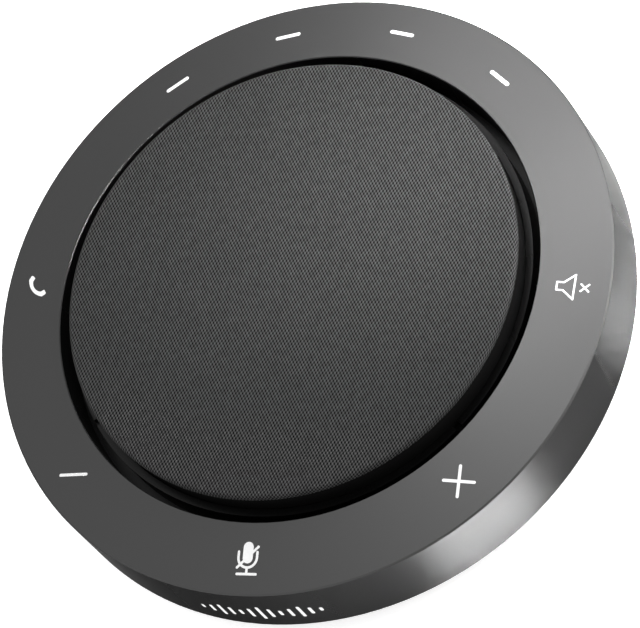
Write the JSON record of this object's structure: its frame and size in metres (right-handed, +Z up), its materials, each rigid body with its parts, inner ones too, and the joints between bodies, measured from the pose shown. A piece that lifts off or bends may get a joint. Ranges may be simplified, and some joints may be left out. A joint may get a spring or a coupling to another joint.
{
  "type": "conference speakerphone",
  "caption": "Round table-top conference speakerphone with a grey touch ring, white icons, light bars and a raised fabric-covered speaker puck.",
  "frame": {"origin": "centre of the base on the surface it rests on", "axes": "+Z up through the middle of the round body; -Y is the front, where the microphone icon is; +X is the side of the speaker icon"},
  "size_m": [0.13, 0.13, 0.0298],
  "materials": {
    "housing_grey": "satin metallic grey coating",
    "icon_white": "bright white, translucent",
    "light_pipe": "bright white light pipe",
    "mark_grey": "pale grey print",
    "chassis_black": "moulded black, fine grain",
    "puck_black": "moulded black, smooth",
    "fabric": "charcoal woven polyester",
    "circuit_board": "green solder mask",
    "conductive_foam": "dark grey conductive foam",
    "led": "clear white package",
    "plated_can": "tin plated",
    "rubber_black": "soft black",
    "screw_steel": "zinc plated",
    "plated_steel": "nickel plated",
    "magnet_nickel": "nickel plated",
    "basket_steel": "black stove paint",
    "rubber_surround": "soft black rubber",
    "foam_black": "closed cell foam",
    "paper_cone": "pressed paper",
    "paper_cap": "pressed paper",
    "former_foil": "thin foil",
    "copper_wire": "enamelled copper",
    "spider_cloth": "resin dipped cloth",
    "phenolic": "brown laminate",
    "brass_tab": "tinned brass",
    "chamber_plastic": "moulded black",
    "chip_black": "moulded epoxy",
    "connector_white": "off-white nylon",
    "flex_amber": "amber polyimide",
    "wire_red": "silicone insulation",
    "battery_wrap": "blue film wrap",
    "port_black": "black nylon",
    "button_grey": "satin grey",
    "switch_white": "white nylon",
    "base_plastic": "moulded dark grey, spark grain",
    "rubber_foot": "silicone rubber",
    "label_grey": "plain matt label",
    "screw_black": "black oxide"
  },
  "bodies": {
    "housing": {"top_housing": "housing_grey", "icon_mic_mute": "icon_white", "icon_volume_down": "icon_white", "icon_volume_up": "icon_white", "icon_call": "icon_white", "icon_speaker_mute": "icon_white", "light_bars": "light_pipe", "front_mark": "mark_grey", "chassis": "chassis_black", "grille_frame": "puck_black", "fabric_cover": "fabric", "touch_board": "circuit_board", "touch_pads": "conductive_foam", "status_leds": "led", "microphones": "plated_can", "mic_boots": "rubber_black", "touch_board_screws": "screw_steel", "chassis_screws": "screw_steel", "pot_yoke": "plated_steel", "magnet": "magnet_nickel", "top_plate": "plated_steel", "speaker_basket": "basket_steel", "surround": "rubber_surround", "speaker_gasket": "foam_black", "spider": "spider_cloth", "terminal_strip": "phenolic", "solder_tabs": "brass_tab", "driver_screws": "screw_steel", "speaker_chamber": "chamber_plastic", "chamber_screws": "screw_steel", "main_board": "circuit_board", "shield_can": "plated_can", "radio_module": "plated_can", "board_chips": "chip_black", "board_connectors": "connector_white", "touch_connector": "connector_white", "touch_flex": "flex_amber", "speaker_leads": "wire_red", "board_screws": "screw_steel", "battery_packs": "battery_wrap", "battery_pads": "foam_black", "battery_leads": "wire_red", "usb_c_shell": "plated_steel", "usb_c_tongue": "port_black", "side_switch": "chip_black", "bottom_shell": "base_plastic", "foot_ring": "rubber_foot", "rating_label": "label_grey", "bottom_screws": "screw_black"},
    "speaker_cone": {"cone": "paper_cone", "dust_cap": "paper_cap", "coil_former": "former_foil", "coil_winding": "copper_wire"},
    "power_button": {"power_button": "button_grey", "switch_plunger": "switch_white"}
  },
  "joints": [
    {"name": "cone_travel", "type": "slide", "parent": "housing", "child": "speaker_cone", "axis": [0, 0, 1], "range_m": [-0.001, 0.001], "stiffness_N_per_m": 1500, "deforming": ["surround", "spider"]},
    {"name": "power_button_press", "type": "slide", "parent": "housing", "child": "power_button", "axis": [-0.2924, -0.9563, 0], "range_m": [0, 0.0003], "stiffness_N_per_m": 4000}
  ]
}
